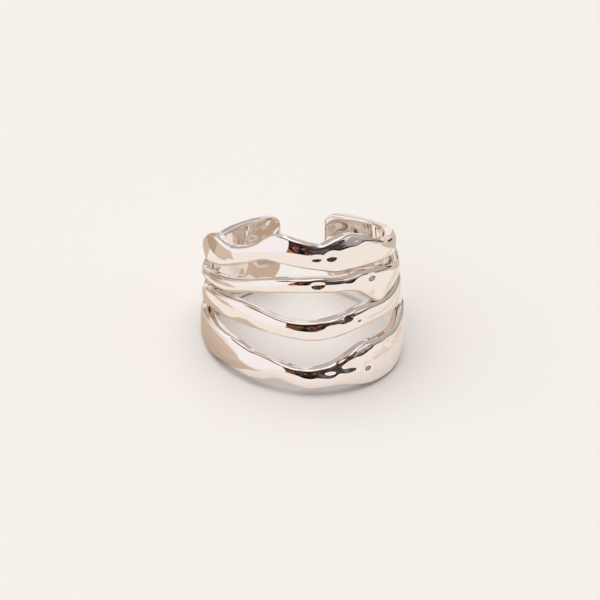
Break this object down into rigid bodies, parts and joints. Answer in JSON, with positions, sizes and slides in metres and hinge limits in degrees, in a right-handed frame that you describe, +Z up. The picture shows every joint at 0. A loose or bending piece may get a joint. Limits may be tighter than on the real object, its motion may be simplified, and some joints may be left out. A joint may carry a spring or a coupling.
{
  "type": "stackable ring",
  "caption": "Open adjustable finger ring cast in one piece: wavy hammered strands across the front run together into one shank that ends in rounded tabs at the back.",
  "frame": {"origin": "middle of the ring's box, on the surface that it rests on", "axes": "+Z up from the surface; +Y from the wavy front to the gap at the back; the ring's own axis leans 11.1 degrees back and 4.6 degrees left of +Z, as it rests"},
  "size_m": [0.0208, 0.021, 0.0149],
  "materials": {
    "polished_silver": "mirror polished, lightly hammered by hand"
  },
  "bodies": {
    "root": {"open_band": "polished_silver"}
  },
  "joints": []
}
